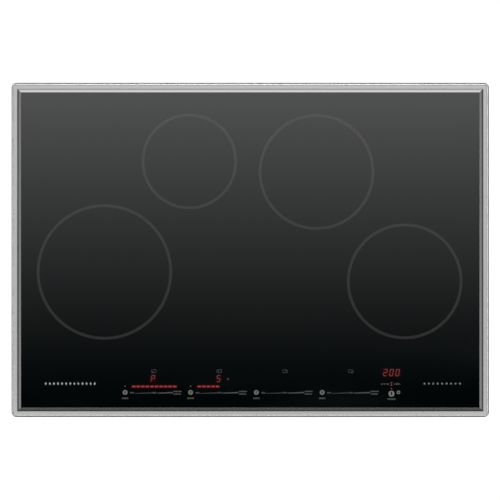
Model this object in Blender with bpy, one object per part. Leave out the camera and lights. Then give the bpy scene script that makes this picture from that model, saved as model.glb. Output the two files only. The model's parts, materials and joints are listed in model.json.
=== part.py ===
"""Built-in induction cooktop, 762 mm wide: a glass-ceramic plate in a steel trim frame over a
sheet-metal chassis, with four coils, their electronics, two cooling fans, a terminal compartment
and four worktop clamps.

Lengths below are in millimetres and objects are built in metres. X runs to the right, Y to the
back and Z up. The origin lies under the middle of the cooktop, on the underside of the chassis.
"""

import math

import bmesh
import bpy

MM = 0.001
GAP = 0.3  # left between pieces that touch

# Overall outline and the main levels.
WIDTH, DEPTH, HEIGHT = 762.0, 533.4, 58.0
WORKTOP_Z = 50.0
GLASS_THICK = 4.0
GLASS_TOP_Z = 55.3
GLASS_Z = GLASS_TOP_Z - GLASS_THICK
GLASS_INSET = 8.0

# Trim frame: plan widths of its bands, from the outer edge inwards.
TRIM_CORNER_R = 7.5
TRIM_DRAFT = 1.3
TRIM_EDGE_R = 2.0
TRIM_FLAT_IN = 9.4
TRIM_STEEP_IN, TRIM_STEEP_Z = 11.9, 56.8
TRIM_LIP_IN, TRIM_LIP_Z = 15.3, 56.1
TRIM_WALL = 1.2
TRIM_SEAT_IN = 7.4  # wall that faces the edge of the glass

# Seal and bonded parts under the glass, as insets from the outer edge.
SEAL_IN, SEAL_OUT, SEAL_TOP_Z = 17.0, 9.0, 51.0
BEAD_IN, BEAD_OUT = 31.0, 26.0
FRAME_LEG, FRAME_FLANGE, FRAME_SHEET = 24.3, 34.3, 1.2
FRAME_LOW_Z = 36.0

# Chassis tray.
TRAY_INSET, TRAY_SHEET, TRAY_TOP_Z, TRAY_CORNER_R = 23.0, 1.0, 49.6, 3.0
TRAY_X, TRAY_Y = WIDTH / 2 - TRAY_INSET, DEPTH / 2 - TRAY_INSET
SLOT_WIDE, SLOT_PITCH = 4.0, 10.0

# Worktop clamps.
CLAMP_X, CLAMP_Y = 338.0, 150.0
POCKET_INNER_X, POCKET_NEAR_Y, POCKET_FAR_Y, POCKET_TOP_Z = 318.0, 104.0, 166.0, 25.0
CLAMP_SCREW_R, CLAMP_HEAD_R, CLAMP_HEAD_Z, CLAMP_SCREW_TOP_Z = 2.5, 5.0, 0.8, 30.0
ARM_Z, ARM_THICK, ARM_WIDE, ARM_REACH, ARM_PAD_Z = 3.6, 2.0, 16.0, 40.0, 10.0

# Cooking zones: centre and coil radius, which is 4 mm inside the zone's ring on the glass.
RING_OUTSIDE, RING_WIDE, RING_DEEP = 4.0, 4.5, 0.05
ZONES = {
    "rear_left": (-97.1, 141.2, 70.0),
    "rear_right": (105.7, 124.3, 86.0),
    "front_left": (-232.6, -35.1, 101.7),
    "front_right": (246.3, -50.1, 86.0),
}
PLATE_Z, PLATE_THICK = 37.5, 1.5
FORMER_Z, FORMER_TOP_Z = 39.3, 44.5
WINDING_TOP_Z = 49.0
INSULATOR_TOP_Z = 50.9

# Fans, power stages and filter.
FANS = {"left": (-255.0, 140.0), "right": (130.0, 140.0)}
FAN_R, FAN_TOP_Z, ROTOR_R, BLADES = 50.0, 33.0, 40.0, 14
FLOOR_Z = TRAY_SHEET + GAP
BOARD_Z, BOARD_THICK = 8.0, 1.6

# Touch controls.
KEYS_X = {"front_left": -199.6, "rear_left": -95.2, "rear_right": 9.7, "front_right": 114.7}
HOLDER_LOW, HOLDER_HIGH = (-222.0, -231.0, 40.0), (262.0, -180.0, 50.4)
TOUCH_Z = 44.0

# Terminal compartment and cable entry.
BAY_LOW, BAY_HIGH, BAY_WALL = (206.0, 171.0, 0.5), (304.0, 237.0, 28.0), 2.0
HINGE_Y, HINGE_Z, HINGE_R = 176.0, 2.0, 1.6
ENTRY_X, ENTRY_Z, ENTRY_R = 275.0, 15.0, 10.0

# Screws that join the tray to the mounting frame.
TRAY_SCREW_Y, TRAY_SCREW_Z, TRAY_SCREW_R, TRAY_SCREW_SEAT_R = 60.0, 42.0, 2.0, 4.8

COLOURS = {
    "brushed_steel": ((0.62, 0.61, 0.59), 0.32, 1.0),
    "black_glass": ((0.012, 0.013, 0.014), 0.05, 0.0),
    "seal_foam": ((0.05, 0.05, 0.055), 0.9, 0.0),
    "silicone": ((0.25, 0.25, 0.26), 0.5, 0.0),
    "galvanised": ((0.55, 0.57, 0.58), 0.42, 1.0),
    "aluminium": ((0.75, 0.76, 0.77), 0.35, 1.0),
    "copper": ((0.72, 0.32, 0.16), 0.38, 1.0),
    "ferrite_resin": ((0.07, 0.07, 0.08), 0.6, 0.0),
    "mica": ((0.62, 0.58, 0.48), 0.45, 0.0),
    "board_green": ((0.03, 0.16, 0.07), 0.45, 0.0),
    "white_plastic": ((0.72, 0.72, 0.7), 0.5, 0.0),
    "black_plastic": ((0.03, 0.03, 0.032), 0.55, 0.0),
    "zinc_plate": ((0.66, 0.66, 0.62), 0.35, 1.0),
}


def clear_scene():
    for old in list(bpy.data.objects):
        bpy.data.objects.remove(old, do_unlink=True)


def material(name):
    """The named finish, made once and shared."""
    found = bpy.data.materials.get(name)
    if found:
        return found
    colour, roughness, metallic = COLOURS[name]
    made = bpy.data.materials.new(name)
    made.use_nodes = True
    shader = made.node_tree.nodes["Principled BSDF"]
    shader.inputs["Base Color"].default_value = (*colour, 1.0)
    shader.inputs["Roughness"].default_value = roughness
    shader.inputs["Metallic"].default_value = metallic
    made.diffuse_color = (*colour, 1.0)
    return made


def place(name, bm, finish=None, origin=(0.0, 0.0, 0.0)):
    """An object in metres from a mesh built in millimetres, with its origin at the given point."""
    bmesh.ops.remove_doubles(bm, verts=bm.verts, dist=0.001)
    bmesh.ops.recalc_face_normals(bm, faces=bm.faces)
    bmesh.ops.translate(bm, verts=bm.verts, vec=[-c for c in origin])
    bmesh.ops.scale(bm, verts=bm.verts, vec=(MM, MM, MM))
    mesh = bpy.data.meshes.new(name)
    bm.to_mesh(mesh)
    bm.free()
    mesh.shade_smooth()
    mesh.set_sharp_from_angle(angle=math.radians(32))
    thing = bpy.data.objects.new(name, mesh)
    thing.location = [c * MM for c in origin]
    bpy.context.scene.collection.objects.link(thing)
    if finish:
        mesh.materials.append(material(finish))
    return thing


def combine(target, bm, operation):
    """Cuts a second mesh from the target, or joins it on, by an exact Boolean."""
    tool = place(f"{target.name}_{operation.lower()}_tool_{len(target.modifiers)}", bm)
    tool.hide_render = True
    tool.display_type = "WIRE"
    step = target.modifiers.new(operation.title(), "BOOLEAN")
    step.operation = operation
    step.solver = "EXACT"
    step.object = tool


def add_box(bm, low, high):
    corners = [(x, y, z) for z in (low[2], high[2]) for y in (low[1], high[1]) for x in (low[0], high[0])]
    v = [bm.verts.new(c) for c in corners]
    for face in ((0, 2, 3, 1), (4, 5, 7, 6), (0, 1, 5, 4), (2, 6, 7, 3), (0, 4, 6, 2), (1, 3, 7, 5)):
        bm.faces.new([v[i] for i in face])


def add_prism(bm, outline, low, high, axis="Z"):
    """Extrudes a closed outline along an axis. Along X it holds (y, z), and along Y (x, z)."""

    def point(a, b, c):
        return {"Z": (a, b, c), "Y": (a, c, b), "X": (c, a, b)}[axis]

    ends = [[bm.verts.new(point(a, b, level)) for a, b in outline] for level in (low, high)]
    for i in range(len(outline)):
        j = (i + 1) % len(outline)
        bm.faces.new((ends[0][i], ends[0][j], ends[1][j], ends[1][i]))
    bm.faces.new(ends[0][::-1])
    bm.faces.new(ends[1])


def add_turned(bm, profile, segments, centre=(0.0, 0.0, 0.0), axis="Z"):
    """Turns a closed profile of (radius, level) about an axis; points of radius 0 close it there."""
    rings = []
    for i in range(segments):
        angle = 2 * math.pi * i / segments
        ring = []
        for radius, level in profile:
            a, b = radius * math.cos(angle), radius * math.sin(angle)
            local = (a, b, level) if axis == "Z" else (a, level, b)
            ring.append(bm.verts.new([c + d for c, d in zip(centre, local)]))
        rings.append(ring)
    count = len(profile)
    for i in range(segments):
        here, there = rings[i], rings[(i + 1) % segments]
        for k in range(count):
            n = (k + 1) % count
            if profile[k][0] == 0 and profile[n][0] == 0:
                continue
            bm.faces.new((here[k], there[k], there[n], here[n]))


def arc(centre, radius, start, end, segments):
    """Points of an arc, with its angles in degrees."""
    points = []
    for i in range(segments + 1):
        angle = math.radians(start + (end - start) * i / segments)
        points.append((centre[0] + radius * math.cos(angle), centre[1] + radius * math.sin(angle)))
    return points


def circle(centre, radius, segments):
    return arc(centre, radius, 0, 360, segments)[:-1]


def rounded_rectangle(half_x, half_y, radius, segments):
    outline = []
    for sx, sy, start in ((1, 1, 0), (-1, 1, 90), (-1, -1, 180), (1, -1, 270)):
        centre = (sx * (half_x - radius), sy * (half_y - radius))
        outline += arc(centre, radius, start, start + 90, segments)
    return outline


def add_rim(bm, section, corner_r=0.0, segments=1):
    """Sweeps a section of (inset from the outer edge, level) round the whole cooktop."""
    loops = []
    for inset, level in section:
        radius = max(corner_r - inset, 0.0)
        outline = rounded_rectangle(WIDTH / 2 - inset, DEPTH / 2 - inset, radius, segments)
        loops.append([bm.verts.new((x, y, level)) for x, y in outline])
    count = len(loops[0])
    for k, loop in enumerate(loops):
        after = loops[(k + 1) % len(loops)]
        for i in range(count):
            j = (i + 1) % count
            bm.faces.new((loop[i], loop[j], after[j], after[i]))


def sheet(low, high):
    bm = bmesh.new()
    add_box(bm, low, high)
    return bm


# --- Worktop side: trim, glass, seal and bonded frame -------------------------------------------


def trim_frame():
    bm = bmesh.new()
    low = WORKTOP_Z + GAP
    edge = arc((TRIM_DRAFT + TRIM_EDGE_R, HEIGHT - TRIM_EDGE_R), TRIM_EDGE_R, 180, 90, 3)
    lip_low = GLASS_TOP_Z + GAP
    groove = HEIGHT - TRIM_WALL
    section = [
        (0.0, low),
        *edge,
        (TRIM_FLAT_IN, HEIGHT),
        (TRIM_STEEP_IN, TRIM_STEEP_Z),
        (TRIM_LIP_IN, TRIM_LIP_Z),
        (TRIM_LIP_IN, lip_low),
        (TRIM_SEAT_IN, lip_low),
        (TRIM_SEAT_IN, low),
        (TRIM_SEAT_IN - TRIM_WALL, low),
        (TRIM_SEAT_IN - TRIM_WALL, groove),
        (TRIM_DRAFT + TRIM_WALL, groove),
        (TRIM_WALL, low),
    ]
    add_rim(bm, section, TRIM_CORNER_R, 5)
    place("trim_frame", bm, "brushed_steel")


def glass_plate():
    """Glass with a hair-deep ring round each zone, which holds the zone's enamel line."""
    bm = bmesh.new()
    outline = rounded_rectangle(WIDTH / 2 - GLASS_INSET, DEPTH / 2 - GLASS_INSET, 2.0, 3)
    add_prism(bm, outline, GLASS_Z, GLASS_TOP_Z)
    plate = place("glass_plate", bm, "black_glass")
    rings = bmesh.new()
    for x, y, coil_r in ZONES.values():
        inner, outer = coil_r + RING_OUTSIDE - RING_WIDE / 2, coil_r + RING_OUTSIDE + RING_WIDE / 2
        low, high = GLASS_TOP_Z - RING_DEEP, GLASS_TOP_Z + 1
        add_turned(rings, [(inner, low), (outer, low), (outer, high), (inner, high)], 64, (x, y, 0.0))
    combine(plate, rings, "DIFFERENCE")


def flat_rim(name, outer, inner, low, high, finish):
    bm = bmesh.new()
    add_rim(bm, [(outer, low), (inner, low), (inner, high), (outer, high)])
    place(name, bm, finish)


def mounting_frame():
    """Angle-section frame bonded under the glass; the tray screws into its legs."""
    bm = bmesh.new()
    top = SEAL_TOP_Z - 0.7
    leg = FRAME_LEG + FRAME_SHEET
    section = [
        (FRAME_LEG, FRAME_LOW_Z),
        (leg, FRAME_LOW_Z),
        (leg, top - FRAME_SHEET),
        (FRAME_FLANGE, top - FRAME_SHEET),
        (FRAME_FLANGE, top),
        (FRAME_LEG, top),
    ]
    add_rim(bm, section, FRAME_LEG + TRAY_CORNER_R - TRAY_SHEET, 3)
    frame = place("mounting_frame", bm, "galvanised")
    combine(frame, tray_screw_holes(), "DIFFERENCE")


def tray_screw_holes():
    bm = bmesh.new()
    add_tray_screw_cuts(bm, TRAY_SCREW_R + GAP, 6.0, 8)
    return bm


def add_tray_screw_cuts(bm, radius, depth, segments):
    """Round cuts at the tray's screws, from outside the side walls to a depth below their face."""
    for side in (-1, 1):
        for y in (-TRAY_SCREW_Y, TRAY_SCREW_Y):
            ends = sorted((side * (TRAY_X - depth), side * (TRAY_X + 2)))
            add_prism(bm, circle((y, TRAY_SCREW_Z), radius, segments), *ends, axis="X")


def tray_screws():
    """Pan-head screws through the side walls of the tray into the mounting frame."""
    places = {(-1, -1): "front_left", (-1, 1): "rear_left", (1, -1): "front_right", (1, 1): "rear_right"}
    for (side, end), name in places.items():
        bm = bmesh.new()
        start = (side * TRAY_X, end * TRAY_SCREW_Y, TRAY_SCREW_Z)
        profile = [(0, -8), (TRAY_SCREW_R, -8), (TRAY_SCREW_R, 0), (3.8, 0), (3.8, 1.1), (2.6, 1.8), (0, 1.8)]
        add_turned(bm, profile, 12)
        turn = math.radians(90 * side)
        for v in bm.verts:
            x, z = v.co.x, v.co.z
            v.co.x = x * math.cos(turn) + z * math.sin(turn) + start[0]
            v.co.z = z * math.cos(turn) - x * math.sin(turn) + start[2]
            v.co.y += start[1]
        place(f"tray_screw_{name}", bm, "zinc_plate")


# --- Chassis tray -------------------------------------------------------------------------------


def add_slots_on_floor(bm, middle_x, middle_y, count, length):
    for i in range(count):
        x = middle_x + (i - (count - 1) / 2) * SLOT_PITCH
        low = (x - SLOT_WIDE / 2, middle_y - length / 2, -1.0)
        add_box(bm, low, (x + SLOT_WIDE / 2, middle_y + length / 2, TRAY_SHEET + 1))


def add_slots_in_wall(bm, along, middle, count, side):
    """Upright slots in a wall: along X in the front or back wall, along Y in a side wall."""
    low_z, high_z = 12.0, 32.0
    for i in range(count):
        at = middle + (i - (count - 1) / 2) * SLOT_PITCH
        near, far = at - SLOT_WIDE / 2, at + SLOT_WIDE / 2
        if along == "X":
            wall = sorted((side * (TRAY_Y - 2), side * (TRAY_Y + 1)))
            add_box(bm, (near, wall[0], low_z), (far, wall[1], high_z))
        else:
            wall = sorted((side * (TRAY_X - 2), side * (TRAY_X + 1)))
            add_box(bm, (wall[0], near, low_z), (wall[1], far, high_z))


def add_fan_grille(bm, centre):
    """Parallel slots that fill a circle under a fan."""
    reach = ROTOR_R - 2
    for i in range(-4, 5):
        y = centre[1] + i * 8.5
        half = math.sqrt(reach**2 - (i * 8.5) ** 2)
        add_box(bm, (centre[0] - half, y - 2.5, -1.0), (centre[0] + half, y + 2.5, TRAY_SHEET + 1))


def base_tray():
    bm = bmesh.new()
    add_prism(bm, rounded_rectangle(TRAY_X, TRAY_Y, TRAY_CORNER_R, 3), 0.0, TRAY_TOP_Z)
    tray = place("base_tray", bm, "galvanised")

    inside = bmesh.new()
    outline = rounded_rectangle(TRAY_X - TRAY_SHEET, TRAY_Y - TRAY_SHEET, TRAY_CORNER_R - TRAY_SHEET, 3)
    add_prism(inside, outline, TRAY_SHEET, TRAY_TOP_Z + 1)
    combine(tray, inside, "DIFFERENCE")

    blocks, hollows = bmesh.new(), bmesh.new()
    for sx in (-1, 1):
        for sy in (-1, 1):
            x = sorted((sx * (POCKET_INNER_X - TRAY_SHEET), sx * (TRAY_X - 0.4)))
            y = sorted((sy * (POCKET_NEAR_Y - TRAY_SHEET), sy * (POCKET_FAR_Y + TRAY_SHEET)))
            add_box(blocks, (x[0], y[0], 0.4), (x[1], y[1], POCKET_TOP_Z + TRAY_SHEET))
            x = sorted((sx * POCKET_INNER_X, sx * (TRAY_X + 2)))
            y = sorted((sy * POCKET_NEAR_Y, sy * POCKET_FAR_Y))
            add_box(hollows, (x[0], y[0], -1.0), (x[1], y[1], POCKET_TOP_Z))
    combine(tray, blocks, "UNION")
    combine(tray, hollows, "DIFFERENCE")

    holes = tray_screw_holes()
    for centre in FANS.values():
        add_fan_grille(holes, centre)
    for x in (-255.0, 112.0):
        add_slots_on_floor(holes, x, -182.0, 10, 25.0)
    for middle in (-150.0, 90.0):
        add_slots_in_wall(holes, "X", middle, 8, 1)
        add_slots_in_wall(holes, "X", middle, 8, -1)
    for side in (-1, 1):
        add_slots_in_wall(holes, "Y", 0.0, 6, side)
    low, high = BAY_LOW, BAY_HIGH
    add_box(holes, (low[0] - 1, low[1] - 1, -1.0), (high[0] + 1, high[1] + 1, TRAY_SHEET + 1))
    add_prism(holes, circle((ENTRY_X, ENTRY_Z), ENTRY_R + 0.6, 16), TRAY_Y - 2, TRAY_Y + 1, axis="Y")
    for sx in (-1, 1):
        for sy in (-1, 1):
            hole = circle((sx * CLAMP_X, sy * CLAMP_Y), CLAMP_SCREW_R + 0.4, 12)
            add_prism(holes, hole, POCKET_TOP_Z - 1, POCKET_TOP_Z + TRAY_SHEET + 1)
    combine(tray, holes, "DIFFERENCE")
    seats = bmesh.new()
    add_tray_screw_cuts(seats, TRAY_SCREW_SEAT_R, GAP, 16)
    combine(tray, seats, "DIFFERENCE")


def rating_plate():
    """Plain data plate on the back wall."""
    low = (-330.0, TRAY_Y + GAP, 12.0)
    place("rating_plate", sheet(low, (-250.0, TRAY_Y + GAP + 0.5, 38.0)), "aluminium")


# --- Worktop clamps -----------------------------------------------------------------------------


def clamps():
    """A screw and a swivelling arm in each corner pocket, with the arm stowed along the side."""
    for sx, side in ((-1, "left"), (1, "right")):
        for sy, end in ((-1, "front"), (1, "rear")):
            pivot = (sx * CLAMP_X, sy * CLAMP_Y, ARM_Z)
            clamp_screw(f"clamp_screw_{end}_{side}", pivot)
            clamp_arm(f"clamp_arm_{end}_{side}", pivot, -sy)


def clamp_screw(name, pivot):
    head_top = ARM_Z - GAP
    collar = ARM_Z + ARM_THICK + GAP
    profile = [
        (0.0, CLAMP_HEAD_Z + 1.6),
        (2.2, CLAMP_HEAD_Z + 1.6),
        (2.2, CLAMP_HEAD_Z),
        (CLAMP_HEAD_R - 0.6, CLAMP_HEAD_Z),
        (CLAMP_HEAD_R, CLAMP_HEAD_Z + 0.6),
        (CLAMP_HEAD_R, head_top),
        (CLAMP_SCREW_R, head_top),
        (CLAMP_SCREW_R, collar),
        (CLAMP_SCREW_R + 1.8, collar),
        (CLAMP_SCREW_R + 1.8, collar + 1.2),
        (CLAMP_SCREW_R, collar + 1.2),
        (CLAMP_SCREW_R, CLAMP_SCREW_TOP_Z - 1),
        (CLAMP_SCREW_R - 1, CLAMP_SCREW_TOP_Z),
        (0.0, CLAMP_SCREW_TOP_Z),
    ]
    bm = bmesh.new()
    add_turned(bm, profile, 12, (pivot[0], pivot[1], 0.0))
    place(name, bm, "zinc_plate", pivot)


def clamp_arm(name, pivot, towards):
    """Flat arm with a raised clamping pad at its end, pointing along Y from its pivot."""
    top = ARM_Z + ARM_THICK
    rise = 30.0
    side_view = [
        (-9.0, ARM_Z),
        (rise, ARM_Z),
        (rise, ARM_PAD_Z - ARM_THICK),
        (ARM_REACH, ARM_PAD_Z - ARM_THICK),
        (ARM_REACH, ARM_PAD_Z),
        (rise - ARM_THICK, ARM_PAD_Z),
        (rise - ARM_THICK, top),
        (-9.0, top),
    ]
    bm = bmesh.new()
    outline = [(pivot[1] + towards * along, level) for along, level in side_view]
    add_prism(bm, outline, pivot[0] - ARM_WIDE / 2, pivot[0] + ARM_WIDE / 2, axis="X")
    arm = place(name, bm, "galvanised", pivot)
    hole = bmesh.new()
    add_prism(hole, circle(pivot[:2], CLAMP_SCREW_R + GAP, 12), ARM_Z - 1, top + 1)
    combine(arm, hole, "DIFFERENCE")


# --- Coils --------------------------------------------------------------------------------------


def coil_plates():
    """Two aluminium plates on bent legs carry the coils; their outer corners clear the clamps."""
    near, far, front, back = 8.0, 348.0, -168.0, 236.0
    notch_x, notch_y = 318.0, 120.0
    for side, name in ((-1, "left"), (1, "right")):
        outline = [
            (side * near, front),
            (side * notch_x, front),
            (side * notch_x, -notch_y),
            (side * far, -notch_y),
            (side * far, notch_y),
            (side * notch_x, notch_y),
            (side * notch_x, back),
            (side * near, back),
        ]
        bm = bmesh.new()
        add_prism(bm, outline, PLATE_Z, PLATE_Z + PLATE_THICK)
        plate = place(f"coil_plate_{name}", bm, "aluminium")

        legs = bmesh.new()
        for x, ys in ((far - 3, (-45.0, 35.0)), (near + 4, (-105.0, 45.0))):
            for y in ys:
                wide = sorted((side * x, side * (x + PLATE_THICK)))
                add_box(legs, (wide[0], y, FLOOR_Z), (wide[1], y + 20, PLATE_Z + 0.5))
        combine(plate, legs, "UNION")

        holes = bmesh.new()
        for x, y, _ in ZONES.values():
            if x * side > 0:
                add_prism(holes, circle((x, y), 10.0, 12), PLATE_Z - 1, PLATE_Z + PLATE_THICK + 1)
        combine(plate, holes, "DIFFERENCE")


def coil(name, x, y, radius):
    """Former with its ferrite bars moulded in, litz winding, insulating disc and pan sensor."""
    former = bmesh.new()
    disc_z = FORMER_TOP_Z - 2.0
    rim = [(16.0, disc_z), (radius, disc_z), (radius, FORMER_TOP_Z), (16.0, FORMER_TOP_Z)]
    add_turned(former, rim, 32, (x, y, 0.0))
    body = place(f"coil_former_{name}", former, "ferrite_resin")
    bars = bmesh.new()
    for i in range(8):
        angle = math.radians(45 * i + 22.5)
        along = (math.cos(angle), math.sin(angle))
        corners = []
        for reach, half in ((26.0, -6.0), (radius - 6, -6.0), (radius - 6, 6.0), (26.0, 6.0)):
            corners.append((x + along[0] * reach - along[1] * half, y + along[1] * reach + along[0] * half))
        add_prism(bars, corners, FORMER_Z, disc_z + 0.5)
    combine(body, bars, "UNION")

    winding = bmesh.new()
    low, high = FORMER_TOP_Z + GAP, WINDING_TOP_Z
    outer = radius - 3
    turn = [(30.0, low), (outer, low), (outer, high - 1), (outer - 1, high), (31.0, high), (30.0, high - 1)]
    add_turned(winding, turn, 32, (x, y, 0.0))
    place(f"coil_winding_{name}", winding, "copper")

    disc = bmesh.new()
    low = WINDING_TOP_Z + GAP
    face = [(12.0, low), (radius - 1, low), (radius - 1, INSULATOR_TOP_Z), (12.0, INSULATOR_TOP_Z)]
    add_turned(disc, face, 32, (x, y, 0.0))
    place(f"coil_insulator_{name}", disc, "mica")

    sensor = bmesh.new()
    cup = [(0, FORMER_Z), (6, FORMER_Z), (6, 43), (10, 44), (10, 50)]
    cup += [(9, INSULATOR_TOP_Z), (0, INSULATOR_TOP_Z)]
    add_turned(sensor, cup, 16, (x, y, 0.0))
    place(f"pan_sensor_{name}", sensor, "white_plastic")


# --- Fans ---------------------------------------------------------------------------------------


def fan_outline(radius, mouth):
    """Scroll of a blower with its outlet towards the front, about its own centre."""
    outlet = -(FAN_R + mouth)
    round_part = arc((0, 0), radius, 180, -60, 14)
    return [(-radius, outlet), *round_part, (radius * 0.28, outlet)]


def fan(name, centre):
    housing = bmesh.new()
    outer = [(centre[0] + a, centre[1] + b) for a, b in fan_outline(FAN_R, 8.0)]
    add_prism(housing, outer, FLOOR_Z, FAN_TOP_Z)
    shell = place(f"fan_housing_{name}", housing, "black_plastic")
    hollow = bmesh.new()
    inner = [(centre[0] + a, centre[1] + b) for a, b in fan_outline(FAN_R - 1.5, 10.0)]
    add_prism(hollow, inner, FLOOR_Z - 1, FAN_TOP_Z - 1.5)
    combine(shell, hollow, "DIFFERENCE")

    motor = bmesh.new()
    top = FAN_TOP_Z - 1.5 - GAP
    add_turned(motor, [(0, 8.5), (11, 8.5), (11, 26), (15, 28), (15, top), (0, top)], 16, (*centre, 0.0))
    place(f"fan_motor_{name}", motor, "black_plastic")

    pivot = (*centre, 5.0)
    rotor = bmesh.new()
    back = 22.5
    hub = [(0, 5), (17, 5), (17, back), (ROTOR_R, back), (ROTOR_R, 24), (12.5, 24), (12.5, 7), (0, 7)]
    add_turned(rotor, hub, 28, (*centre, 0.0))
    wheel = place(f"fan_rotor_{name}", rotor, "black_plastic", pivot)
    blades = bmesh.new()
    for i in range(BLADES):
        start = 360 * i / BLADES
        outline = []
        for thick, order in ((0.0, (0, 1, 2)), (1.8, (2, 1, 0))):
            for k in order:
                reach = 27.0 + 6.0 * k
                angle = math.radians(start + 5.0 * k + math.degrees(thick / reach))
                outline.append((centre[0] + reach * math.cos(angle), centre[1] + reach * math.sin(angle)))
        add_prism(blades, outline, 5.5, back + 0.7)
    combine(wheel, blades, "UNION")


# --- Electronics --------------------------------------------------------------------------------


def circuit_board(name, low, high, blocks, drums):
    """Board on four feet; blocks are (x, y, width, depth, height) and drums (x, y, radius, height)."""
    board = place(name, sheet((*low, BOARD_Z), (*high, BOARD_Z + BOARD_THICK)), "board_green")
    fitted = bmesh.new()
    root = BOARD_Z + BOARD_THICK - 0.5
    for x in (low[0] + 6, high[0] - 6):
        for y in (low[1] + 6, high[1] - 6):
            add_prism(fitted, circle((x, y), 3.5, 8), FLOOR_Z, BOARD_Z + 0.5)
    for x, y, wide, deep, tall in blocks:
        low_corner = (x - wide / 2, y - deep / 2, root)
        add_box(fitted, low_corner, (x + wide / 2, y + deep / 2, root + tall))
    for x, y, radius, tall in drums:
        add_prism(fitted, circle((x, y), radius, 12), root, root + tall)
    combine(board, fitted, "UNION")


def power_stage(name, sink_x, board_low, board_high):
    """Inverter board with a finned heatsink standing in the fan's air stream."""
    inner = (board_low[0] + board_high[0]) / 2 + 35
    blocks = [(inner, y, 34, 18, 22) for y in (-120, -90)]
    blocks += [(inner - 8, y, 12, 30, 16) for y in (-45, -5)]
    blocks.append((inner + 30, 40, 40, 14, 12))
    drums = [(inner + 30, y, 11, 24) for y in (-50, -10)]
    circuit_board(f"power_board_{name}", board_low, board_high, blocks, drums)

    base, fins, wide = BOARD_Z + BOARD_THICK + GAP, 8, 60.0
    pitch = (wide - 2) / (fins - 1)
    outline = [(sink_x - wide / 2, base), (sink_x + wide / 2, base)]
    for i in reversed(range(fins)):
        left = sink_x - wide / 2 + i * pitch
        outline += [(left + 2, base + 4), (left + 2, base + 24), (left, base + 24), (left, base + 4)]
    outline = [p for i, p in enumerate(outline) if i not in (2, len(outline) - 1)]
    bm = bmesh.new()
    add_prism(bm, outline, -125.0, 72.0, axis="Y")
    place(f"heatsink_{name}", bm, "aluminium")


def touch_controls():
    """Holder behind the front edge with the touch board and one light box for each display."""
    low, high = HOLDER_LOW, HOLDER_HIGH
    holder = place("control_holder", sheet(low, high), "black_plastic")
    for inset, floor in ((1.5, TOUCH_Z - GAP), (4.0, low[2] + 1.5)):
        cavity_low = (low[0] + inset, low[1] + inset, floor)
        combine(holder, sheet(cavity_low, (high[0] - inset, high[1] - inset, high[2] + 1)), "DIFFERENCE")
    legs = bmesh.new()
    for x in (-200.0, 20.0, 240.0):
        add_box(legs, (x - 6, -214.0, FLOOR_Z), (x + 6, -202.0, low[2] + 0.6))
    combine(holder, legs, "UNION")

    inset = 1.5 + 0.5
    board_low = (low[0] + inset, low[1] + inset, TOUCH_Z)
    board_high = (high[0] - inset, high[1] - inset, TOUCH_Z + BOARD_THICK)
    place("touch_board", sheet(board_low, board_high), "board_green")

    for zone, key in KEYS_X.items():
        windows = [(key + 9, -220, key + 82, -216), (key + 40, -212, key + 51, -198)]
        windows.append((key + 40, -196.5, key + 52, -190.5))
        light_box(f"display_{zone}", (key + 7, -222.0), (key + 84, -189.0), windows)
    digits = [(x - 4, -202.5, x + 4, -189.5) for x in (215.4, 225.2, 235.0)]
    light_box("display_timer", (208.0, -216.0), (243.0, -187.0), digits)


def light_box(name, low, high, windows):
    base, top = TOUCH_Z + BOARD_THICK + GAP, GLASS_Z - 0.7
    box = place(name, sheet((*low, base), (*high, top)), "white_plastic")
    cuts = bmesh.new()
    for x0, y0, x1, y1 in windows:
        add_box(cuts, (x0, y0, base + 1.2), (x1, y1, top + 1))
    combine(box, cuts, "DIFFERENCE")


# --- Terminal compartment -----------------------------------------------------------------------


def terminal_box():
    low, high, wall = BAY_LOW, BAY_HIGH, BAY_WALL
    box = place("terminal_box", sheet(low, high), "black_plastic")
    flange_low = (low[0] - 5, low[1] - 5, FLOOR_Z)
    combine(box, sheet(flange_low, (high[0] + 5, high[1] - 0.2, FLOOR_Z + 1.7)), "UNION")
    inner_low = (low[0] + wall, low[1] + wall, low[2] - 1)
    combine(box, sheet(inner_low, (high[0] - wall, high[1] - wall, high[2] - wall)), "DIFFERENCE")
    holes = bmesh.new()
    add_prism(holes, circle((ENTRY_X, ENTRY_Z), ENTRY_R + 0.6, 16), high[1] - wall - 1, high[1] + 1, axis="Y")
    for start in (low[0] + 0.7, high[0] - wall - 0.5):
        add_prism(holes, circle((HINGE_Y, HINGE_Z), 1.3, 8), start, start + wall - 0.2, axis="X")
    combine(box, holes, "DIFFERENCE")


def terminal_block():
    """Five-pole block under the roof of the compartment, with its wire ways to the back."""
    low, high = (212.0, 180.0, 9.5), (262.0, 204.0, BAY_HIGH[2] - BAY_WALL - GAP)
    block = place("terminal_block", sheet(low, high), "white_plastic")
    ways = bmesh.new()
    for i in range(5):
        x = low[0] + 5 + 10 * i
        add_box(ways, (x - 3, high[1] - 9, low[2] + 4), (x + 3, high[1] + 1, low[2] + 11))
        add_prism(ways, circle((x, low[1] + 8), 2.6, 8), low[2] - 1, low[2] + 5)
    combine(block, ways, "DIFFERENCE")


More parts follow.
